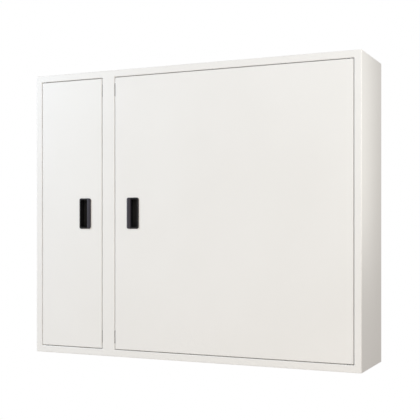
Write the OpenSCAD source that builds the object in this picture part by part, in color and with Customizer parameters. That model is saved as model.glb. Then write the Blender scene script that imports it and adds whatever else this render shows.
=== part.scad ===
// Wall cabinet of folded sheet steel for a fire hose reel, with a narrow side compartment.
// Two pan doors lie flush in the front frame, turn on hidden pins and open away from each other.
// The origin is the middle of the flat back. X runs right, Y runs back to the wall, Z runs up.

/* [Cabinet] */
// Width over the side walls
cab_w = 855; // [700:5:1200]
// Height over the top and bottom walls
cab_h = 710; // [600:5:1000]
// Depth from the wall to the front face
cab_d = 185; // [150:5:300]
// Thickness of the sheet of the body
sheet_t = 1.2; // [0.8:0.1:2]
// Outside radius of the folds of the body
fold_r = 2; // [1.6:0.1:3]
// Radius that the welded corners of the body are ground to
corner_r = 1.5; // [0.5:0.1:1.8]

/* [Front frame] */
// Width of the frame round the openings
frame_w = 17; // [12:1:30]
// Width of the post between the openings
post_w = 35; // [26:0.5:60]
// Depth of the rebate that the doors lie in
rebate_d = 26; // [24:1:32]
// Width of the stop lip behind the doors
lip_w = 10; // [8:1:14]
// Width of the opening of the narrow compartment
narrow_w = 180; // [150:0.5:260]

/* [Doors] */
// Gap between a door and the edge of its opening
door_gap = 1.5; // [1.2:0.1:2.2]
// Thickness of the sheet of the doors
door_t = 1.2; // [0.8:0.1:1.6]
// Outside radius of the folds of the doors
door_r = 2; // [1.8:0.1:2.4]
// Depth of a door over its folded edges
door_depth = 14; // [12:0.5:16]
// Width of the top of the channel that stiffens the wide door
stiffener_w = 40; // [20:1:80]
// Depth of that channel
stiffener_d = 10; // [6:0.5:11]
// Width of each foot of that channel
stiffener_foot = 14; // [8:1:20]
// Gap from the ends of that channel to the folded edges
stiffener_end = 24; // [12:1:60]

/* [Hinge pins] */
// Distance of a pin's axis from the door's edge
pin_in = 12; // [11:0.5:14]
// Distance of a pin's axis behind the front face
pin_back = 5.5; // [5.4:0.1:6]
// Diameter of a pin
pin_d = 5; // [4:0.1:5]
// Radial clearance of a pin in the door
pin_clear = 0.08; // [0.05:0.01:0.1]
// Diameter of a pin's collar
collar_d = 7.4; // [6.5:0.1:8]
// Diameter of a pin's head
head_d = 6.6; // [6:0.1:6.8]
// Height of a pin's head
head_h = 2.5; // [1.5:0.1:4]
// Length of a pin past its hinge plate
pin_past = 3; // [1:0.5:8]
// Width of the hinge plate in a door's corner
plate_w = 26; // [22:1:40]
// Depth of that plate
plate_d = 9; // [8.5:0.5:10]
// Thickness of that plate
plate_t = 3; // [2:0.5:5]
// Size of the cut corner of that plate
plate_cut = 5; // [1:0.5:7]

/* [Catches and buffers] */
// Height of the slot that a magnetic catch is pressed into
catch_h = 30; // [15:1:50]
// Depth of a magnetic catch
catch_d = 11; // [8:0.5:14]
// Thickness of a magnetic catch behind the edge of the post
catch_t = 8.5; // [5:0.5:10]
// How far a catch stands out of the post into the door gap
catch_out = 0.4; // [0.2:0.1:0.6]
// Distance of a catch's middle from the end of the opening
catch_end = 31.5; // [24:0.5:60]
// Width of the catch's rim over the ends of its slot
catch_rim = 1.5; // [0.5:0.1:3]
// Height of the ears that hold the catch behind the sheet
catch_ear = 0.8; // [0.4:0.1:1.5]
// Diameter of a door buffer at its foot
buffer_d = 8; // [6:0.5:9]
// Height of that foot
buffer_foot = 1.5; // [0.5:0.1:3]
// Step from the foot to the stem of a buffer
buffer_neck = 0.8; // [0.3:0.1:1.2]
// Radius of a buffer's nose
buffer_nose_r = 5; // [4:0.5:8]
// Distance of a buffer's middle from the end of the opening
buffer_end = 90; // [60:1:160]
// Gap that a buffer leaves to the closed door
buffer_gap = 0.3; // [0.2:0.1:0.6]

/* [Handles] */
// Width of a handle
handle_w = 33; // [28:0.5:40]
// Height of a handle
handle_h = 76.5; // [60:0.5:110]
// Radius of a handle's corners
handle_r = 5.5; // [5:0.5:7]
// Thickness of the flange that lies on the door
flange_t = 1; // [0.8:0.1:1.2]
// Width of the rim round the finger recess
rim_w = 4; // [3.5:0.5:4.5]
// Height of the rim over the door
rim_out = 2.2; // [1.8:0.1:3]
// Radius of the rim's outer edge
rim_edge_r = 1.6; // [1:0.1:1.7]
// Wall of the finger recess
tub_wall = 1.5; // [1:0.1:2]
// Depth of the finger recess behind the door's front
tub_depth = 14.5; // [12:0.5:20]
// Gap round the recess in the door
tub_clear = 0.25; // [0.1:0.05:0.5]
// Height of the grip's crown over the door
grip_out = 3.2; // [2.6:0.1:4]
// Width of the grip
grip_w = 10.5; // [9:0.5:13]
// Radius of the grip's crown
crown_r = 12; // [10:0.5:20]
// Radius of the grip's edges
grip_edge_r = 1.5; // [1.2:0.1:1.6]
// Reach of the grip's rolled edge into the recess
grip_roll = 4; // [2:0.5:6]
// Width of the snap ribs that hold a handle in the door
rib_w = 12; // [8:1:16]
// Height of those ribs
rib_h = 1.5; // [1:0.1:2]
// Distance of the narrow door's handle from the opening edge of that door
narrow_handle_in = 31.5; // [22:0.5:60]
// Distance of the wide door's handle from the opening edge of that door
wide_handle_in = 34; // [22:0.5:80]

/* [Reel bracket] */
// Width of the top of the bracket
bracket_w = 90; // [80:1:140]
// Height of the bracket
bracket_h = 560; // [300:5:600]
// Depth of the bracket
bracket_d = 20; // [12:1:30]
// Width of each foot of the bracket
bracket_foot = 16; // [12:1:24]
// Distance between its bolt holes across
reel_hole_x = 60; // [40:1:70]
// Distance between its bolt holes up
reel_hole_z = 120; // [60:1:200]
// Diameter of its bolt holes
reel_hole_d = 9; // [6:0.5:12]

/* [Wall fixing] */
// Diameter of the holes for the wall bolts
wall_hole_d = 10; // [8:0.5:14]
// Distance of those holes from the sides of the cabinet
wall_hole_in = 50; // [35:1:80]
// Distance of those holes from the top and the bottom
wall_hole_up = 50; // [35:1:80]
// Diameter of the pipe entry
pipe_d = 50; // [35:1:60]
// Distance of the pipe entry from the right side
pipe_in = 80; // [66:1:110]
// Distance of the pipe entry from the bottom
pipe_up = 110; // [100:1:160]

/* [Hidden] */
$fn = 48;

// Faces and edges that several pieces share
front_y = -cab_d;
lip_y = front_y + rebate_d;
side_x = cab_w / 2;
end_z = cab_h / 2;
open_z = end_z - frame_w;
post_left = -side_x + frame_w + narrow_w;
post_right = post_left + post_w;
post_mid = (post_left + post_right) / 2;
// Each opening as its left and right edge
narrow_open = [-side_x + frame_w, post_left];
wide_open = [post_right, side_x - frame_w];
// Half the height of a door
leaf_z = open_z - door_gap;
// How far a cutting shape runs past what it cuts
past = 1;
paint = [0.93, 0.93, 0.91];
black = [0.04, 0.04, 0.05];
zinc = [0.72, 0.73, 0.75];

// Turns an outline in X and Z into a plate that reaches from one depth to another
module along_y(from_y, to_y) {
    translate([0, to_y, 0]) rotate([90, 0, 0]) linear_extrude(to_y - from_y) children();
}

// One straight run of sheet between two points of its middle line, shortened for the folds at its ends
module run(a, b, t, cut_a, cut_b) {
    d = b - a;
    length = norm(d);
    if (length - cut_a - cut_b > 0.001)
        translate(a) rotate(atan2(d[1], d[0]))
            translate([cut_a, -t / 2]) square([length - cut_a - cut_b, t]);
}

// One square fold at point p, between the directions into it and out of it
module fold(p, into, out, t, r) {
    reach = r + t;
    translate(p - r * into + r * out) intersection() {
        difference() {
            circle(r + t / 2);
            circle(r - t / 2);
        }
        polygon([[0, 0], reach * into, reach * (into - out), -reach * out]);
    }
}

// The section of a folded sheet that follows a path with square corners
module folded(path, t, outside_r) {
    r = outside_r - t / 2;
    last = len(path) - 1;
    for (i = [0 : last - 1])
        run(path[i], path[i + 1], t, i == 0 ? 0 : r, i == last - 1 ? 0 : r);
    for (i = [1 : last - 1])
        fold(path[i], (path[i] - path[i - 1]) / norm(path[i] - path[i - 1]),
             (path[i + 1] - path[i]) / norm(path[i + 1] - path[i]), t, r);
}

// A rectangle with round corners
module rounded(w, h, r) {
    square([w - 2 * r, h], center = true);
    square([w, h - 2 * r], center = true);
    for (x = [-1, 1], y = [-1, 1])
        translate([x * (w / 2 - r), y * (h / 2 - r)]) circle(r);
}

// The room that the body fills, with its ground corners, which the ends of the walls keep to
module ground_corners() {
    intersection() {
        children();
        along_y(front_y, 0) rounded(cab_w, cab_h, corner_r);
    }
}

// Section of a wall with its front flange, measured inward from the wall's outer face
module wall_section() {
    h = sheet_t / 2;
    folded([[h, 0], [h, front_y + h], [frame_w - fold_r, front_y + h]], sheet_t, fold_r);
}

// Section of the folded edge of an opening: fold, rebate and stop lip
module rebate_section() {
    h = sheet_t / 2;
    folded([[frame_w - fold_r, front_y + h], [frame_w - h, front_y + h],
            [frame_w - h, lip_y - h], [frame_w + lip_w, lip_y - h]], sheet_t, fold_r);
}

// A section carried along a wall that stands at the left of an area of w by h, mitred at both ends
module left_member(w, h, inner) {
    intersection() {
        translate([-w / 2, 0, -h / 2]) linear_extrude(h) children();
        along_y(front_y, 0)
            polygon([[-w / 2 - past, -h / 2 - past], [-w / 2 - past, h / 2 + past],
                     [-w / 2 + inner, h / 2 - inner], [-w / 2 + inner, -h / 2 + inner]]);
    }
}

// The same along the bottom of an area
module bottom_member(w, h, inner) {
    intersection() {
        translate([w / 2, 0, -h / 2]) rotate([0, -90, 0]) linear_extrude(w) children();
        along_y(front_y, 0)
            polygon([[-w / 2 - past, -h / 2 - past], [w / 2 + past, -h / 2 - past],
                     [w / 2 - inner, -h / 2 + inner], [-w / 2 + inner, -h / 2 + inner]]);
    }
}

// The rebate along one side of an opening, placed as if a frame_w wide frame ran round it
module side_rebate(opening) {
    w = opening[1] - opening[0] + 2 * frame_w;
    translate([(opening[0] + opening[1]) / 2, 0, 0])
        left_member(w, cab_h, frame_w + lip_w) rebate_section();
}
module bottom_rebate(opening) {
    w = opening[1] - opening[0] + 2 * frame_w;
    translate([(opening[0] + opening[1]) / 2, 0, 0])
        bottom_member(w, cab_h, frame_w + lip_w) rebate_section();
}
module opposite_rebate(opening) {
    middle = (opening[0] + opening[1]) / 2;
    translate([2 * middle, 0, 0]) mirror([1, 0, 0]) side_rebate(opening);
}

// Where the hinge pins of a door stand: on the left for side -1, on the right for side 1
function pin_x(opening, side) =
    side < 0 ? opening[0] + door_gap + pin_in : opening[1] - door_gap - pin_in;
pin_y = front_y + pin_back;
narrow_pin_x = pin_x(narrow_open, -1);
wide_pin_x = pin_x(wide_open, 1);

module pin_holes(x, d) {
    translate([x, pin_y, -end_z + frame_w - fold_r - sheet_t]) cylinder(d = d, h = 3 * sheet_t + fold_r);
}

module left_wall() {
    color(paint) {
        ground_corners() left_member(cab_w, cab_h, frame_w) wall_section();
        side_rebate(narrow_open);
    }
}

module right_wall() {
    color(paint) {
        ground_corners() mirror([1, 0, 0]) left_member(cab_w, cab_h, frame_w) wall_section();
        opposite_rebate(wide_open);
    }
}

module bottom_wall() {
    color(paint) difference() {
        union() {
            ground_corners() bottom_member(cab_w, cab_h, frame_w) wall_section();
            bottom_rebate(narrow_open);
            bottom_rebate(wide_open);
        }
        pin_holes(narrow_pin_x, pin_d);
        pin_holes(wide_pin_x, pin_d);
    }
}

module top_wall() {
    mirror([0, 0, 1]) bottom_wall();
}

module back_panel() {
    color(paint) difference() {
        translate([-side_x + sheet_t, -sheet_t, -end_z + sheet_t])
            cube([cab_w - 2 * sheet_t, sheet_t, cab_h - 2 * sheet_t]);
        for (x = [-1, 1], z = [-1, 1])
            translate([x * (side_x - wall_hole_in), past, z * (end_z - wall_hole_up)])
                rotate([90, 0, 0]) cylinder(d = wall_hole_d, h = sheet_t + 2 * past);
        translate([side_x - pipe_in, past, -end_z + pipe_up])
            rotate([90, 0, 0]) cylinder(d = pipe_d, h = sheet_t + 2 * past);
    }
}

// The slot that a catch sits in, cut through the rebate on one side of the post
module catch_slot(edge, side, z) {
    translate([side > 0 ? edge - fold_r : edge - past, front_y + sheet_t, z - catch_h / 2])
        cube([fold_r + past, catch_d, catch_h]);
}

catch_z = open_z - catch_end;

module centre_post() {
    color(paint) difference() {
        union() {
            translate([post_left + fold_r, front_y, -open_z - fold_r])
                cube([post_w - 2 * fold_r, sheet_t, 2 * (open_z + fold_r)]);
            side_rebate(wide_open);
            opposite_rebate(narrow_open);
        }
        for (z = [-catch_z, catch_z]) {
            catch_slot(post_right, 1, z);
            catch_slot(post_left, -1, z);
        }
    }
}

// The sheet between the compartments, notched round the stop lips
module partition() {
    color(paint) translate([post_mid - sheet_t / 2, 0, 0]) rotate([90, 0, 90]) linear_extrude(sheet_t) {
        inner_z = end_z - sheet_t;
        notch_z = open_z - lip_w;
        polygon([[-sheet_t, -inner_z], [-sheet_t, inner_z], [lip_y, inner_z], [lip_y, notch_z],
                 [front_y + sheet_t, notch_z], [front_y + sheet_t, -notch_z], [lip_y, -notch_z],
                 [lip_y, -inner_z]]);
    }
}

// The channel on the back panel that a hose reel bolts to
module reel_bracket() {
    h = sheet_t / 2;
    middle = (wide_open[0] + wide_open[1]) / 2;
    top_y = -sheet_t - bracket_d;
    color(paint) translate([middle, 0, 0]) difference() {
        translate([0, 0, -bracket_h / 2]) linear_extrude(bracket_h)
            folded([[-bracket_w / 2 - bracket_foot, -sheet_t - h], [-bracket_w / 2 + h, -sheet_t - h],
                    [-bracket_w / 2 + h, top_y + h], [bracket_w / 2 - h, top_y + h],
                    [bracket_w / 2 - h, -sheet_t - h], [bracket_w / 2 + bracket_foot, -sheet_t - h]],
                   sheet_t, fold_r);
        for (x = [-1, 1], z = [-1, 1])
            translate([x * reel_hole_x / 2, top_y + sheet_t + past, z * reel_hole_z / 2])
                rotate([90, 0, 0]) cylinder(d = reel_hole_d, h = sheet_t + 2 * past);
    }
}

// A black magnetic catch for the right side of the post: a case that fills its slot, a thin rim that
// lies on the sheet over the ends of the slot, and springing ears behind the sheet
module door_catch(edge, z) {
    half = catch_h / 2;
    back = front_y + sheet_t + catch_d;
    // The upper half of its outline, from the rim's face to the end inside the post
    upper = [[catch_out, half + catch_rim], [0, half + catch_rim], [0, half], [-sheet_t, half],
             [-sheet_t, half + catch_ear], [-catch_t, half]];
    lower = [for (i = [len(upper) - 1 : -1 : 0]) [upper[i][0], -upper[i][1]]];
    color(black) translate([edge, 0, z]) {
        along_y(front_y + fold_r, back) polygon(concat(upper, lower));
        along_y(front_y + sheet_t, back)
            translate([-catch_t, -half]) square([catch_t + catch_out, catch_h]);
    }
}

// Round buffers on the stop lip of the post, two to a door, each with a foot and a domed nose
module door_buffers(edge, side) {
    back = lip_y - sheet_t;
    tip = back - (front_y + door_depth + buffer_gap);
    stem_r = buffer_d / 2 - buffer_neck;
    for (z = [-1, 1])
        color(black) translate([edge + side * lip_w / 2, back, z * (open_z - buffer_end)])
            rotate([90, 0, 0]) rotate_extrude() {
                square([buffer_d / 2, buffer_foot]);
                square([stem_r, tip - buffer_nose_r]);
                intersection() {
                    translate([0, tip - buffer_nose_r]) circle(buffer_nose_r);
                    square([stem_r, tip]);
                }
            }
}

// A lower hinge pin: head under the rebate, collar in the door gap, shank in the door
module hinge_pin(x) {
    color(zinc) translate([x, pin_y, -open_z]) {
        translate([0, 0, -sheet_t - head_h]) cylinder(d = head_d, h = head_h);
        translate([0, 0, -sheet_t])
            cylinder(d = pin_d, h = sheet_t + door_gap + door_t + plate_t + pin_past);
        cylinder(d = collar_d, h = door_gap - pin_clear);
    }
}

// Outline of a door pan seen along one edge: square at the back and rounded at the front
module pan_section(w, depth, r) {
    translate([-w / 2 + r, 0]) square([w - 2 * r, depth]);
    translate([-w / 2, r]) square([w, depth - r]);
    for (x = [-1, 1])
        translate([x * (w / 2 - r), r]) circle(r);
}

// A block of w by h with the pan's rounded front, from the door's front back to the given depth
module pan_block(w, h, depth, r) {
    intersection() {
        translate([0, 0, -h / 2]) linear_extrude(h) pan_section(w, depth, r);
        translate([-w / 2, 0, 0]) rotate([90, 0, 90]) linear_extrude(w) rotate(90) mirror([0, 1])
            pan_section(h, depth, r);
    }
}

// A folded door pan in its opening, with the cut-out for the handle and the holes for the pins
module door_pan(opening, pin, handle) {
    w = opening[1] - opening[0] - 2 * door_gap;
    middle = (opening[0] + opening[1]) / 2;
    color(paint) difference() {
        translate([middle, front_y, 0]) difference() {
            pan_block(w, 2 * leaf_z, door_depth, door_r);
            translate([0, door_t, 0])
                pan_block(w - 2 * door_t, 2 * (leaf_z - door_t), door_depth, door_r - door_t);
        }
        translate([handle, 0, 0]) along_y(front_y - past, front_y + door_t + past)
            rounded(tub_w + 2 * tub_clear, tub_h + 2 * tub_clear, recess_r + tub_wall + tub_clear);
        translate([pin, pin_y, -leaf_z - past])
            cylinder(d = pin_d + 2 * pin_clear, h = 2 * (leaf_z + past));
    }
}

// The thick plate that carries a pin inside the lower corner of a door. It clears the pan's fold
module hinge_plate(opening, side, pin) {
    edge = side < 0 ? opening[0] + door_gap + door_t : opening[1] - door_gap - door_t;
    color(paint) difference() {
        translate([edge, front_y + door_r, -leaf_z + door_t]) mirror([side < 0 ? 0 : 1, 0, 0])
            linear_extrude(plate_t)
                polygon([[0, 0], [plate_w, 0], [plate_w, plate_d - plate_cut],
                         [plate_w - plate_cut, plate_d], [0, plate_d]]);
        translate([pin, pin_y, -leaf_z]) cylinder(d = pin_d + 2 * pin_clear, h = 2 * (door_t + plate_t));
    }
}

module reel_door_stiffener() {
    h = door_t / 2;
    middle = (wide_open[0] + wide_open[1]) / 2;
    length = 2 * (leaf_z - stiffener_end);
    base_y = door_t + h;
    top_y = door_t + stiffener_d - h;
    color(paint) translate([middle, front_y, -length / 2]) linear_extrude(length)
        folded([[-stiffener_w / 2 - stiffener_foot, base_y], [-stiffener_w / 2 + h, base_y],
                [-stiffener_w / 2 + h, top_y], [stiffener_w / 2 - h, top_y], [stiffener_w / 2 - h, base_y],
                [stiffener_w / 2 + stiffener_foot, base_y]], door_t, door_r);
}

recess_w = handle_w - 2 * rim_w;
recess_h = handle_h - 2 * rim_w;
recess_r = handle_r - rim_w;
tub_w = recess_w + 2 * tub_wall;
tub_h = recess_h + 2 * tub_wall;
// Where the grip ends and the bare rim starts, from the middle of the handle
grip_x = handle_w / 2 - grip_w;

// A rib on the end of the recess that springs behind the door's sheet
module snap_rib() {
    behind = door_t + tub_clear;
    translate([-rib_w / 2, 0, tub_h / 2]) rotate([90, 0, 90]) linear_extrude(rib_w)
        polygon([[behind, -tub_wall / 2], [behind, rib_h], [tub_depth, 0], [tub_depth, -tub_wall / 2]]);
}

// The moulded finger recess with its flange and rim, for a grip on the right
module handle_recess() {
    color(black) translate([0, front_y, 0]) {
        difference() {
            union() {
                intersection() {
                    along_y(-rim_out, 0) rounded(handle_w, handle_h, handle_r);
                    translate([0, -rim_out, 0]) pan_block(handle_w, handle_h, rim_out, rim_edge_r);
                }
                along_y(-flange_t, tub_depth + tub_wall) rounded(tub_w, tub_h, recess_r + tub_wall);
            }
            along_y(-rim_out - past, tub_depth) rounded(recess_w, recess_h, recess_r);
            translate([grip_x, -flange_t - rim_out, -handle_h / 2 - past])
                cube([grip_w + past, rim_out, handle_h + 2 * past]);
        }
        snap_rib();
        mirror([0, 0, 1]) snap_rib();
    }
}

// The crown's arc runs into an arc at each edge. The section starts at the outer edge of the handle
module grip_section() {
    middle = grip_w / 2;
    crown_y = grip_out - crown_r;
    edge_y = crown_y + sqrt(pow(crown_r - grip_edge_r, 2) - pow(middle - grip_edge_r, 2));
    tangent_x = middle - (middle - grip_edge_r) * crown_r / (crown_r - grip_edge_r);
    intersection() {
        translate([middle, crown_y]) circle(crown_r, $fn = 180);
        translate([tangent_x, flange_t]) square([grip_w - 2 * tangent_x, grip_out]);
    }
    intersection() {
        union() {
            square([grip_w, edge_y]);
            for (x = [grip_edge_r, grip_w - grip_edge_r])
                translate([x, edge_y]) circle(grip_edge_r);
        }
        translate([0, flange_t]) square([grip_w, grip_out]);
    }
}

// The rolled edge that the fingers pull on
module roll_section() {
    translate([grip_w - 2 * grip_edge_r, grip_edge_r - grip_roll])
        square([2 * grip_edge_r, flange_t + grip_roll - grip_edge_r]);
    translate([grip_w - grip_edge_r, grip_edge_r - grip_roll]) circle(grip_edge_r);
}

// A section of the grip carried up a handle from its outer right edge
module up_the_grip(h) {
    translate([handle_w / 2, 0, -h / 2]) mirror([0, 1, 0]) mirror([1, 0, 0]) linear_extrude(h) children();
}

// The grip over the right side of the recess
module handle_grip() {
    color(black) translate([0, front_y, 0]) {
        intersection() {
            up_the_grip(handle_h) grip_section();
            along_y(-grip_out, 0) rounded(handle_w, handle_h, handle_r);
            translate([0, -grip_out, 0]) pan_block(handle_w, handle_h, grip_out, grip_out - flange_t);
        }
        up_the_grip(recess_h) roll_section();
    }
}

narrow_handle_x = post_left - door_gap - narrow_handle_in - handle_w / 2;
wide_handle_x = post_right + door_gap + wide_handle_in + handle_w / 2;

left_wall();
right_wall();
top_wall();
bottom_wall();
back_panel();
centre_post();
partition();
reel_bracket();
door_catch(post_right, catch_z);  // reel_catch_upper
door_catch(post_right, -catch_z);  // reel_catch_lower
mirror([1, 0, 0]) door_catch(-post_left, catch_z);  // narrow_catch_upper
mirror([1, 0, 0]) door_catch(-post_left, -catch_z);  // narrow_catch_lower
door_buffers(post_right, 1);  // reel_buffers
door_buffers(post_left, -1);  // narrow_buffers
mirror([0, 0, 1]) hinge_pin(wide_pin_x);  // reel_pin_upper
hinge_pin(wide_pin_x);  // reel_pin_lower
mirror([0, 0, 1]) hinge_pin(narrow_pin_x);  // narrow_pin_upper
hinge_pin(narrow_pin_x);  // narrow_pin_lower
door_pan(wide_open, wide_pin_x, wide_handle_x);  // reel_door_pan
reel_door_stiffener();
mirror([0, 0, 1]) hinge_plate(wide_open, 1, wide_pin_x);  // reel_hinge_plate_upper
hinge_plate(wide_open, 1, wide_pin_x);  // reel_hinge_plate_lower
translate([wide_handle_x, 0, 0]) mirror([1, 0, 0]) handle_recess();  // reel_handle_recess
translate([wide_handle_x, 0, 0]) mirror([1, 0, 0]) handle_grip();  // reel_handle_grip
door_pan(narrow_open, narrow_pin_x, narrow_handle_x);  // narrow_door_pan
mirror([0, 0, 1]) hinge_plate(narrow_open, -1, narrow_pin_x);  // narrow_hinge_plate_upper
hinge_plate(narrow_open, -1, narrow_pin_x);  // narrow_hinge_plate_lower
translate([narrow_handle_x, 0, 0]) handle_recess();  // narrow_handle_recess
translate([narrow_handle_x, 0, 0]) handle_grip();  // narrow_handle_grip
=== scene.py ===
import math

import bmesh
import bpy
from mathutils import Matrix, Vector


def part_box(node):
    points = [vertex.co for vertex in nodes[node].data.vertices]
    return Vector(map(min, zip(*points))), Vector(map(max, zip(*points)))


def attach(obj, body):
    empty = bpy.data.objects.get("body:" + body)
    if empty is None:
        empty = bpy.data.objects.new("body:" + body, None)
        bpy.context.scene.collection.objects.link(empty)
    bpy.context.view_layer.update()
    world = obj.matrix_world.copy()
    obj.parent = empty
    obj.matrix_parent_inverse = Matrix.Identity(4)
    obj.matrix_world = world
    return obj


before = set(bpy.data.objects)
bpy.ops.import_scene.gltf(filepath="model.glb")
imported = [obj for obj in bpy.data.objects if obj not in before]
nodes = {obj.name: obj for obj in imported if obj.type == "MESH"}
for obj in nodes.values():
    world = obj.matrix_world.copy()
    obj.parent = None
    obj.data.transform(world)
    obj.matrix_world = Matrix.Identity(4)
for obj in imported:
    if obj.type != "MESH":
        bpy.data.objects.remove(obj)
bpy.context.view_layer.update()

# Where the cabinet is seen from
# The viewer stands to the right of the cabinet, a little below the middle of its doors, and looks
# level. The picture is moved up instead of tilted, so that the upright edges stay parallel.
EYE = (0.911, -2.074, -0.037)
LOOK_LEFT = math.radians(24.155)
LENS_MM = 75.3
SENSOR_MM = 36
PICTURE_UP = 0.0435

camera = bpy.data.objects.new("camera", bpy.data.cameras.new("camera"))
camera.location = EYE
camera.rotation_euler = (math.radians(90), 0, LOOK_LEFT)
camera.data.lens = LENS_MM
camera.data.sensor_width = SENSOR_MM
camera.data.shift_y = PICTURE_UP
bpy.context.scene.collection.objects.link(camera)
bpy.context.scene.camera = camera


# The studio
# A white paper surround gives an even, slightly warm fill. The main lamps stand to the left and to
# the right of the camera. Weak ones stand below and at the right, a slim strip light stands close
# beside the right wall, and one lamp behind the cabinet lights its back.
FILL = (0.4825, 0.4523, 0.4247)
PAPER_WHITE = (1.0, 1.0, 1.0)
ROUND_LAMP = (1.0, 1.0)
WIDE_LAMP = (2.2, 2.2)
STRIP_LIGHT = (0.06, 0.6)
CABINET_MIDDLE = (0, -0.1, 0)
RIGHT_WALL_UPPER = (0.43, -0.2, 0.2)
# Each lamp: where it stands, where it looks, its width and height, its colour and its power in watts
LAMPS = {
    "left_lamp": ((-2.1, -1.4, 0.9), CABINET_MIDDLE, ROUND_LAMP, (0.73, 0.86, 1.0), 31.4),
    "right_front_lamp": ((1.2, -2.4, 1.2), CABINET_MIDDLE, WIDE_LAMP, (1.0, 0.965, 0.90), 21.0),
    "low_front_lamp": ((0.2, -2.2, -1.0), CABINET_MIDDLE, ROUND_LAMP, (1.0, 0.89, 0.75), 5.8),
    "right_lamp": ((0.8, -0.6, 0.5), CABINET_MIDDLE, ROUND_LAMP, (0.75, 0.88, 1.0), 1.1),
    "right_strip_light": ((0.62, -0.2, 0.2), RIGHT_WALL_UPPER, STRIP_LIGHT, (1.0, 1.0, 0.95), 0.32),
    "rear_lamp": ((-0.45, 2.4, 0.3), CABINET_MIDDLE, ROUND_LAMP, (0.91, 0.96, 1.0), 34.0),
}


def put(tree, kind, inputs=None, **settings):
    """Adds a shader node. An input is a number, a colour, or the output of another node."""
    made = tree.nodes.new("ShaderNode" + kind)
    for key, value in settings.items():
        setattr(made, key, value)
    for key, value in (inputs or {}).items():
        if isinstance(value, bpy.types.NodeSocket):
            tree.links.new(value, made.inputs[key])
        else:
            made.inputs[key].default_value = value
    return made


surround = bpy.data.worlds.new("surround")
bpy.context.scene.world = surround
surround.use_nodes = True
tree = surround.node_tree
tree.nodes.clear()
fill = put(tree, "Background", {"Color": (*FILL, 1)})
paper = put(tree, "Background", {"Color": (*PAPER_WHITE, 1)})
seen = put(tree, "LightPath").outputs["Is Camera Ray"]
mixed = put(tree, "MixShader", {0: seen, 1: fill.outputs[0], 2: paper.outputs[0]})
put(tree, "OutputWorld", {"Surface": mixed.outputs[0]})
bpy.context.scene.view_settings.view_transform = "Standard"

for name, (place, aim, (width, height), colour, watts) in LAMPS.items():
    lamp = bpy.data.objects.new(name, bpy.data.lights.new(name, "AREA"))
    lamp.data.shape = "DISK" if width == height else "RECTANGLE"
    lamp.data.size = width
    lamp.data.size_y = height
    lamp.data.color = colour
    lamp.data.energy = watts
    lamp.location = place
    lamp.rotation_euler = (Vector(aim) - Vector(place)).to_track_quat("-Z", "Y").to_euler()
    lamp.visible_camera = False
    bpy.context.scene.collection.objects.link(lamp)


# The floor
# A pale matt floor, well below the cabinet, because the cabinet hangs on a wall. It is a round sheet
# of paper that fades out towards its rim, and it is no part of the cabinet.
FLOOR_Z = -2.0
FLOOR_RADIUS = 2.8
FLOOR_FADE_FROM = 1.2
FLOOR_SIDES = 96
FLOOR_PAPER = (0.93, 0.93, 0.92)
PAPER_ROUGHNESS = 0.9


def new_finish(name, colour, roughness, metallic=0.0):
    """Starts a material: gives it, its node tree and its shader, with what is the same all over."""
    finish = bpy.data.materials.new(name)
    finish.use_nodes = True
    finish.diffuse_color = (*colour, 1)
    shader = finish.node_tree.nodes["Principled BSDF"]
    shader.inputs["Base Color"].default_value = (*colour, 1)
    shader.inputs["Roughness"].default_value = roughness
    shader.inputs["Metallic"].default_value = metallic
    return finish, finish.node_tree, shader


paper_floor, tree, shader = new_finish("floor_paper", FLOOR_PAPER, PAPER_ROUGHNESS)
place = put(tree, "TexCoord").outputs["Object"]
flat_place = put(tree, "VectorMath", {0: place, 1: (1, 1, 0)}, operation="MULTIPLY").outputs[0]
from_middle = put(tree, "VectorMath", {0: flat_place}, operation="LENGTH").outputs["Value"]
shown = put(tree, "MapRange", {"Value": from_middle, "From Min": FLOOR_FADE_FROM, "From Max": FLOOR_RADIUS,
                               "To Min": 1.0, "To Max": 0.0}, interpolation_type="SMOOTHSTEP")
clear = put(tree, "BsdfTransparent")
faded = put(tree, "MixShader", {0: shown.outputs[0], 1: clear.outputs[0], 2: shader.outputs[0]})
tree.links.new(faded.outputs[0], tree.nodes["Material Output"].inputs["Surface"])

floor_mesh = bpy.data.meshes.new("floor")
turns = [2 * math.pi * side / FLOOR_SIDES for side in range(FLOOR_SIDES)]
floor_mesh.from_pydata([(FLOOR_RADIUS * math.cos(turn), FLOOR_RADIUS * math.sin(turn), FLOOR_Z)
                        for turn in turns], [], [range(FLOOR_SIDES)])
floor_mesh.materials.append(paper_floor)
floor = bpy.data.objects.new("floor", floor_mesh)
bpy.context.scene.collection.objects.link(floor)


# The walls of the body
# Each wall is one strip of 1.2 mm steel, folded in at the front and back again round the opening.
# The strips are mitred, welded at the corners, ground flush and powder coated in a soft white.
COAT_LIGHT = (0.872, 0.866, 0.850)
COAT_DARK = (0.852, 0.845, 0.826)
COAT_ROUGHNESS = (0.34, 0.44)
COAT_EDGE = 0.0006
EDGE_SAMPLES = 4
GLOSS_PATCH = 0.022
PEEL_SIZE = 0.0022
PEEL_HEIGHT = 0.000013
PEEL_LAYERS = 1.5
GRIT_SIZE = 0.0006
GRIT_HEIGHT = 0.000001
SHEET_WAVE = 0.22
SHEET_WAVE_HEIGHT = 0.00025
# How many finer layers lie on a noise
NO_LAYERS = 0.0
FEW_LAYERS = 3.0
MORE_LAYERS = 4.0
# Most of a noise lies between these two values
NOISE_MIDDLE = (0.3, 0.7)


def noise(tree, place, size, layers=1.0):
    """A noise between 0 and 1 whose patches are about so many metres across."""
    return put(tree, "TexNoise", {"Vector": place, "Scale": 1 / size, "Detail": layers}).outputs["Fac"]


def maths(tree, operation, first, second=0.0, third=0.0):
    """One step of arithmetic in a material, on numbers or on the outputs of other nodes."""
    return put(tree, "Math", {0: first, 1: second, 2: third}, operation=operation).outputs[0]


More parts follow.
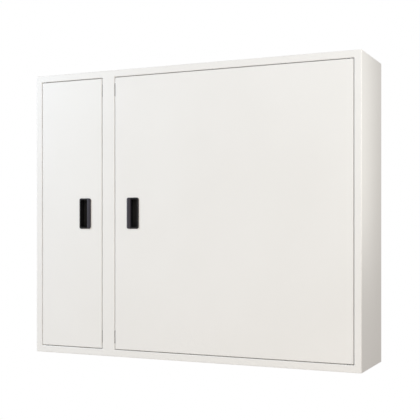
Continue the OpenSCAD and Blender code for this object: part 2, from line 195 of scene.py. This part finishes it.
def mapped(tree, value, lowest, highest):
    """Spreads the middle part of a noise over the range between two numbers."""
    return put(tree, "MapRange", {"Value": value, "From Min": NOISE_MIDDLE[0], "From Max": NOISE_MIDDLE[1],
                                  "To Min": lowest, "To Max": highest}).outputs[0]


def blend_colours(tree, factor, first, second):
    """Goes from the first colour to the second as the factor goes from 0 to 1."""
    mix = put(tree, "Mix", {"Factor": factor}, data_type="RGBA")
    mix.inputs["A"].default_value = (*first, 1)
    mix.inputs["B"].default_value = (*second, 1)
    return mix.outputs["Result"]


def raise_surface(tree, shader, heights, edge):
    """Turns heights in metres into the shader's normal, over edges that can be softened first."""
    total = heights[0]
    for height in heights[1:]:
        total = maths(tree, "ADD", total, height)
    bump = put(tree, "Bump", {"Height": total, "Distance": 1.0})
    if edge:
        soft_edge = put(tree, "Bevel", {"Radius": edge}, samples=EDGE_SAMPLES).outputs[0]
        tree.links.new(soft_edge, bump.inputs["Normal"])
    tree.links.new(bump.outputs[0], shader.inputs["Normal"])


def powder_coat(name, edge, weld_marks=None):
    """White powder coat with its orange peel. It can show the dimples of spot welds under it."""
    finish, tree, shader = new_finish(name, COAT_LIGHT, COAT_ROUGHNESS[0])
    place = put(tree, "TexCoord").outputs["Object"]
    patches = mapped(tree, noise(tree, place, SHEET_WAVE, FEW_LAYERS), 0.0, 1.0)
    colour = blend_colours(tree, patches, COAT_LIGHT, COAT_DARK)
    tree.links.new(colour, shader.inputs["Base Color"])
    gloss = mapped(tree, noise(tree, place, GLOSS_PATCH, MORE_LAYERS), *COAT_ROUGHNESS)
    tree.links.new(gloss, shader.inputs["Roughness"])
    heights = [
        maths(tree, "MULTIPLY", noise(tree, place, PEEL_SIZE, PEEL_LAYERS), PEEL_HEIGHT),
        maths(tree, "MULTIPLY", noise(tree, place, GRIT_SIZE), GRIT_HEIGHT),
        maths(tree, "MULTIPLY", noise(tree, place, SHEET_WAVE, NO_LAYERS), SHEET_WAVE_HEIGHT),
    ]
    if weld_marks:
        heights.append(weld_marks(tree, place))
    raise_surface(tree, shader, heights, edge)
    return finish


def dress(names, finish):
    """Gives pieces of the cabinet their finish. Their shapes and places stay as they are."""
    for name in names:
        nodes[name].data.materials.clear()
        nodes[name].data.materials.append(finish)


# No edge is softened here, because that would draw the ground joints of the frame as lines
body_coat = powder_coat("white_body_coat", edge=0)
dress(["left_wall", "right_wall", "top_wall", "bottom_wall"], body_coat)


# The back panel and the reel bracket
# A flat sheet of steel closes the back. A folded channel is spot-welded to it, and carries the
# hose reel on four bolts. The welding tongs leave round dimples in both sheets under the paint.
WELD_PITCH = 0.065
WELD_RADIUS = 0.0027
WELD_FLAT = 0.7
WELD_DEPTH = 0.00018
BRACKET_FOOT = 0.016


def spot_weld_rows(channel, foot):
    """The dimples of two upright rows of spot welds, in the middle of the feet of a channel."""
    low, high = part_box(channel)
    middle = (low[0] + high[0]) / 2
    aside = (high[0] - low[0]) / 2 - foot / 2

    def heights(tree, place):
        split = put(tree, "SeparateXYZ", {0: place})
        from_middle = maths(tree, "ABSOLUTE", maths(tree, "SUBTRACT", split.outputs["X"], middle))
        across = maths(tree, "SUBTRACT", from_middle, aside)
        along = maths(tree, "WRAP", split.outputs["Z"], WELD_PITCH / 2, -WELD_PITCH / 2)
        away = maths(tree, "SQRT", maths(tree, "ADD", maths(tree, "MULTIPLY", across, across),
                                         maths(tree, "MULTIPLY", along, along)))
        dimple = put(tree, "MapRange", {"Value": away, "From Min": WELD_FLAT * WELD_RADIUS,
                                        "From Max": WELD_RADIUS, "To Min": -WELD_DEPTH, "To Max": 0.0},
                     interpolation_type="SMOOTHSTEP").outputs[0]
        # The rows end where the channel ends
        on_channel = maths(tree, "LESS_THAN", maths(tree, "ABSOLUTE", split.outputs["Z"]), high[2])
        return maths(tree, "MULTIPLY", dimple, on_channel)
    return heights


bracket_marks = spot_weld_rows("reel_bracket", BRACKET_FOOT)
bracket_coat = powder_coat("white_bracket_coat", COAT_EDGE, bracket_marks)
dress(["back_panel", "reel_bracket"], bracket_coat)


# The centre post and the partition
# The post is folded on both sides like the walls, and butt welded between top and bottom. A flat
# sheet behind it parts the two compartments.
dress(["centre_post", "partition"], body_coat)


# The stitch welds inside the body
# Short fillet welds, laid before the body was painted, join the back panel and the partition to
# the walls. Each bead has the ripples of its weld pool and tapers at its ends.
BEAD_LEG = 0.0026
BEAD_LENGTH = 0.018
BEAD_PITCH = 0.15
RIPPLE = 0.0013
RIPPLE_DEPTH = 0.12
RINGS_PER_RIPPLE = 6
BEAD_ARC = 8
# 1 would give the bead a round back, and 2 a flat one
BEAD_FLATNESS = 1.5
BEAD_END = 0.2
BEAD_RUN_IN = 2.4
# How far in front of the wall behind the cabinet the beads at the ends of the partition lie
PARTITION_BEADS_OUT = (0.045, 0.125)


def lay_bead(shape, corner, along, side_a, side_b, length=BEAD_LENGTH, leg=BEAD_LEG):
    """Lays one bead in the corner between two sheets, which lead away from it to side_a and side_b."""
    corner, along, side_a, side_b = (Vector(v) for v in (corner, along, side_a, side_b))
    steps = RINGS_PER_RIPPLE * round(length / RIPPLE)
    rings = []
    for step in range(steps + 1):
        way = step / steps
        taper = min(1.0, BEAD_END + BEAD_RUN_IN * math.sqrt(way * (1 - way)))
        ripple = 1 - RIPPLE_DEPTH * (1 - abs(math.sin(math.pi * step / RINGS_PER_RIPPLE)))
        reach = leg * taper * ripple
        middle = corner + along * (way - 0.5) * length
        ring = [shape.verts.new(middle)]
        for point in range(BEAD_ARC + 1):
            turn = math.pi / 2 * point / BEAD_ARC
            on_a = side_a * math.cos(turn) ** BEAD_FLATNESS
            on_b = side_b * math.sin(turn) ** BEAD_FLATNESS
            ring.append(shape.verts.new(middle + reach * (on_a + on_b)))
        rings.append(ring)
    for ring, after in zip(rings, rings[1:]):
        for point in range(len(ring)):
            beside = (point + 1) % len(ring)
            shape.faces.new((ring[point], ring[beside], after[beside], after[point]))
    shape.faces.new(rings[0][::-1])
    shape.faces.new(rings[-1])


def make_piece(name, shape, finish, body):
    """Makes a piece of the finished shape, which rides on a body and has the given finish."""
    bmesh.ops.recalc_face_normals(shape, faces=shape.faces)
    mesh = bpy.data.meshes.new(name)
    shape.to_mesh(mesh)
    shape.free()
    mesh.materials.append(finish)
    mesh.shade_smooth()
    piece = bpy.data.objects.new(name, mesh)
    bpy.context.scene.collection.objects.link(piece)
    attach(piece, body)


def stitches(length):
    """Where the middles of the beads lie along a seam, measured from its middle."""
    count = max(1, int(length / BEAD_PITCH))
    return [(number - (count - 1) / 2) * BEAD_PITCH for number in range(count)]


panel_low, panel_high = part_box("back_panel")
panel_front = panel_low[1]
partition_low, partition_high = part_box("partition")
shape = bmesh.new()
for side in (-1, 1):
    wall_x = panel_low[0] if side < 0 else panel_high[0]
    wall_z = panel_low[2] if side < 0 else panel_high[2]
    for z in stitches(panel_high[2] - panel_low[2]):
        lay_bead(shape, (wall_x, panel_front, z), (0, 0, 1), (-side, 0, 0), (0, -1, 0))
    for x in stitches(panel_high[0] - panel_low[0]):
        lay_bead(shape, (x, panel_front, wall_z), (1, 0, 0), (0, 0, -side), (0, -1, 0))
make_piece("back_panel_welds", shape, body_coat, "cabinet")

shape = bmesh.new()
for side in (-1, 1):
    face_x = partition_low[0] if side < 0 else partition_high[0]
    for z in stitches(partition_high[2] - partition_low[2]):
        lay_bead(shape, (face_x, panel_front, z), (0, 0, 1), (side, 0, 0), (0, -1, 0))
    for up in (-1, 1):
        end_z = partition_low[2] if up < 0 else partition_high[2]
        for out in PARTITION_BEADS_OUT:
            lay_bead(shape, (face_x, -out, end_z), (0, 1, 0), (side, 0, 0), (0, 0, -up))
make_piece("partition_welds", shape, body_coat, "cabinet")


# The magnetic catches
# Each catch is a black moulded case that snaps into a slot in the post. Its face shows a ferrite
# magnet between two steel pole strips, which hold the folded edge of the door.
CASE_BLACK = (0.017, 0.017, 0.018)
CASE_ROUGHNESS = (0.42, 0.55)
CASE_GRAIN = 0.0005
CASE_GRAIN_HEIGHT = 0.000006
CASE_EDGE = 0.0005
# Moulded plastic has clouds of gloss and a slow swell, so many times as large as its grain
CLOUD_PER_GRAIN = 30
SWELL_PER_GRAIN = 20
SWELL_HEIGHT_PER_GRAIN = 3
GRAIN_LAYERS = 2.0
STRIP_WIDTH = 0.0013
STRIP_OUT = 0.00012
STRIP_IN = 0.0008
STRIP_SHORTER = 0.0015
STRIP_BACK = 0.0022
MAGNET_SUNK = 0.0001
BLOCK_EDGE = 0.0002
BLOCK_SEGMENTS = 2
BLOCK_PROFILE = 0.7
FERRITE_GREY = (0.035, 0.033, 0.034)
FERRITE_ROUGHNESS = (0.4, 0.6)
FERRITE_GRAIN = 0.0008
FERRITE_GRAIN_HEIGHT = 0.00001
CLEAR_ZINC = ((0.66, 0.67, 0.70), (0.57, 0.56, 0.53))
PLATE_ROUGHNESS = (0.26, 0.42)
PLATE_CLOUD = 0.004
PLATE_GLOSS = 0.002
PLATE_EDGE = 0.0002
TOOL_LINE = 0.00017
TOOL_LINE_DEPTH = 0.000002


def moulded_black(name, colour, roughness, grain, grain_height, edge):
    """Black plastic out of a mould, with the grain of the mould and small changes of gloss."""
    finish, tree, shader = new_finish(name, colour, roughness[0])
    place = put(tree, "TexCoord").outputs["Object"]
    gloss = mapped(tree, noise(tree, place, CLOUD_PER_GRAIN * grain, FEW_LAYERS), *roughness)
    tree.links.new(gloss, shader.inputs["Roughness"])
    swell = noise(tree, place, SWELL_PER_GRAIN * grain)
    heights = [
        maths(tree, "MULTIPLY", noise(tree, place, grain, GRAIN_LAYERS), grain_height),
        maths(tree, "MULTIPLY", swell, SWELL_HEIGHT_PER_GRAIN * grain_height),
    ]
    raise_surface(tree, shader, heights, edge)
    return finish


def plated_steel(name, light, dark):
    """Zinc-plated steel between two tones, a little cloudy, with fine tool lines across its height."""
    finish, tree, shader = new_finish(name, light, PLATE_ROUGHNESS[0], metallic=1.0)
    place = put(tree, "TexCoord").outputs["Object"]
    clouds = mapped(tree, noise(tree, place, PLATE_CLOUD, MORE_LAYERS), 0.0, 1.0)
    tree.links.new(blend_colours(tree, clouds, light, dark), shader.inputs["Base Color"])
    gloss = mapped(tree, noise(tree, place, PLATE_GLOSS, FEW_LAYERS), *PLATE_ROUGHNESS)
    tree.links.new(gloss, shader.inputs["Roughness"])
    height = put(tree, "SeparateXYZ", {0: place}).outputs["Z"]
    lines = put(tree, "TexNoise", {"W": maths(tree, "DIVIDE", height, TOOL_LINE), "Scale": 1.0},
                noise_dimensions="1D").outputs["Fac"]
    raise_surface(tree, shader, [maths(tree, "MULTIPLY", lines, TOOL_LINE_DEPTH)], PLATE_EDGE)
    return finish


def rounded_block(shape, low, high):
    """Adds a block with softened edges to the shape."""
    block = bmesh.ops.create_cube(shape, size=1.0)["verts"]
    for vert in block:
        vert.co = Vector(low[i] + (vert.co[i] + 0.5) * (high[i] - low[i]) for i in range(3))
    edges = {line for vert in block for line in vert.link_edges}
    bmesh.ops.bevel(shape, geom=[*block, *edges], offset=BLOCK_EDGE, segments=BLOCK_SEGMENTS,
                    profile=BLOCK_PROFILE, affect="EDGES")


case_plastic = moulded_black("catch_case_plastic", CASE_BLACK, CASE_ROUGHNESS, CASE_GRAIN,
                             CASE_GRAIN_HEIGHT, CASE_EDGE)
pole_steel = plated_steel("pole_strip_steel", *CLEAR_ZINC)
ferrite, tree, shader = new_finish("ferrite_magnet", FERRITE_GREY, FERRITE_ROUGHNESS[0])
place = put(tree, "TexCoord").outputs["Object"]
grain = noise(tree, place, FERRITE_GRAIN, MORE_LAYERS)
tree.links.new(mapped(tree, grain, *FERRITE_ROUGHNESS), shader.inputs["Roughness"])
raise_surface(tree, shader, [maths(tree, "MULTIPLY", grain, FERRITE_GRAIN_HEIGHT)], BLOCK_EDGE)

for door, out in (("reel", 1), ("narrow", -1)):
    strips = bmesh.new()
    magnets = bmesh.new()
    for end in ("upper", "lower"):
        low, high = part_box(f"{door}_catch_{end}")
        face_x = high[0] if out > 0 else low[0]
        z_range = (low[2] + STRIP_SHORTER, high[2] - STRIP_SHORTER)
        strip_x = sorted((face_x - out * STRIP_IN, face_x + out * STRIP_OUT))
        magnet_x = sorted((face_x - out * STRIP_IN, face_x + out * (STRIP_OUT - MAGNET_SUNK)))
        starts = (low[1] + STRIP_BACK, high[1] - STRIP_BACK - STRIP_WIDTH)
        for y in starts:
            rounded_block(strips, (strip_x[0], y, z_range[0]), (strip_x[1], y + STRIP_WIDTH, z_range[1]))
        rounded_block(magnets, (magnet_x[0], starts[0] + STRIP_WIDTH, z_range[0]),
                      (magnet_x[1], starts[1], z_range[1]))
        dress([f"{door}_catch_{end}"], case_plastic)
    make_piece(f"{door}_catch_poles", strips, pole_steel, "cabinet")
    make_piece(f"{door}_catch_magnets", magnets, ferrite, "cabinet")


# The door buffers
# Round plugs of black rubber sit on the stop lip of the post and soften the closing of the doors.
# They are moulded, so their skin is dull with a fine bloom.
RUBBER_BLACK = (0.022, 0.022, 0.023)
RUBBER_ROUGHNESS = (0.7, 0.85)
RUBBER_GRAIN = 0.0004
RUBBER_GRAIN_HEIGHT = 0.000008
RUBBER_EDGE = 0.0011

buffer_rubber = moulded_black("buffer_rubber", RUBBER_BLACK, RUBBER_ROUGHNESS, RUBBER_GRAIN,
                              RUBBER_GRAIN_HEIGHT, RUBBER_EDGE)
dress(["reel_buffers", "narrow_buffers"], buffer_rubber)


# The doors
# Each door is a shallow pan folded from 1.2 mm steel, with welded and ground corners, painted like
# the body. The wide one has a folded channel spot-welded down the middle of its inside.
CHANNEL_FOOT = 0.014

door_coat = powder_coat("white_door_coat", COAT_EDGE)
dress(["narrow_door_pan", "reel_door_pan"], door_coat)
channel_marks = spot_weld_rows("reel_door_stiffener", CHANNEL_FOOT)
channel_coat = powder_coat("white_channel_coat", COAT_EDGE, channel_marks)
dress(["reel_door_stiffener"], channel_coat)


# The hinges
# A thick plate is welded into the two corners of each door on its hinge side and painted with it.
# The door turns on dark zinc-plated pins that are riveted into the top and the bottom of the body.
DARK_ZINC = ((0.17, 0.17, 0.18), (0.11, 0.11, 0.12))
PLATE_BEAD_LEG = 0.0024
FRONT_BEAD_LENGTH = 0.010
FRONT_BEAD_IN = 0.020
EDGE_BEAD_LENGTH = 0.0055
DOOR_SHEET = 0.0012

pin_steel = plated_steel("turned_pin_steel", *DARK_ZINC)
for door, side in (("reel", 1), ("narrow", -1)):
    # One bead joins the plate to the door's front past the pin, and one to its edge before the pin
    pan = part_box(f"{door}_door_pan")
    front_inside = pan[0][1] + DOOR_SHEET
    edge_inside = pan[1 if side > 0 else 0][0] - side * DOOR_SHEET
    shape = bmesh.new()
    for end, up in (("upper", 1), ("lower", -1)):
        dress([f"{door}_hinge_plate_{end}"], door_coat)
        dress([f"{door}_pin_{end}"], pin_steel)
        low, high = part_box(f"{door}_hinge_plate_{end}")
        inner_z = low[2] if up > 0 else high[2]
        lay_bead(shape, (edge_inside - side * FRONT_BEAD_IN, front_inside, inner_z), (1, 0, 0),
                 (0, 0, -up), (0, 1, 0), FRONT_BEAD_LENGTH, PLATE_BEAD_LEG)
        lay_bead(shape, (edge_inside, (low[1] + high[1]) / 2, inner_z), (0, 1, 0),
                 (0, 0, -up), (-side, 0, 0), EDGE_BEAD_LENGTH, PLATE_BEAD_LEG)
    make_piece(f"{door}_hinge_welds", shape, door_coat, f"{door}_door")


# The handles
# A black moulded finger recess is snapped into each door from the front, and a crowned grip of a
# softer black bridges its side next to the post. The rims are glossy, the recess is dull inside, and
# its black is painted darker deeper in as painted shade.
RIM_BLACK = (0.005, 0.0048, 0.006)
RIM_ROUGHNESS = (0.28, 0.36)
# The recess black is painted shade: a darker black that stands in for the shade deep in the recess
RECESS_PAINTED_SHADE = (0.0012, 0.0012, 0.0014)
RECESS_ROUGHNESS = 0.65
GRIP_BLACK = (0.031, 0.028, 0.039)
GRIP_ROUGHNESS = (0.36, 0.44)
HANDLE_GRAIN = 0.0006
HANDLE_GRAIN_HEIGHT = 0.0000015
HANDLE_EDGE = 0.0006
# Where the painted shade and the dull finish begin in the recess, and where they are full
SHADE_AND_DULL_FROM = 0.0005
SHADE_AND_DULL_AT = 0.003

rim_finish = moulded_black("handle_rim_plastic", RIM_BLACK, RIM_ROUGHNESS, HANDLE_GRAIN,
                           HANDLE_GRAIN_HEIGHT, HANDLE_EDGE)
tree = rim_finish.node_tree
shader = tree.nodes["Principled BSDF"]
door_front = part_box("reel_door_pan")[0][1]
depth = put(tree, "SeparateXYZ", {0: put(tree, "TexCoord").outputs["Object"]}).outputs["Y"]
# Deeper in the recess the colour turns to the painted shade black, and the plastic also turns dull
shade_and_dull = put(tree, "MapRange", {"Value": depth, "From Min": door_front + SHADE_AND_DULL_FROM,
                              "From Max": door_front + SHADE_AND_DULL_AT}, interpolation_type="SMOOTHSTEP").outputs[0]
tree.links.new(blend_colours(tree, shade_and_dull, RIM_BLACK, RECESS_PAINTED_SHADE), shader.inputs["Base Color"])
gloss = shader.inputs["Roughness"].links[0].from_socket
dulled = put(tree, "Mix", {"Factor": shade_and_dull, "A": gloss, "B": RECESS_ROUGHNESS}, data_type="FLOAT")
tree.links.new(dulled.outputs["Result"], shader.inputs["Roughness"])
dress(["reel_handle_recess", "narrow_handle_recess"], rim_finish)

grip_finish = moulded_black("handle_grip_plastic", GRIP_BLACK, GRIP_ROUGHNESS, HANDLE_GRAIN,
                            HANDLE_GRAIN_HEIGHT, HANDLE_EDGE)
dress(["reel_handle_grip", "narrow_handle_grip"], grip_finish)
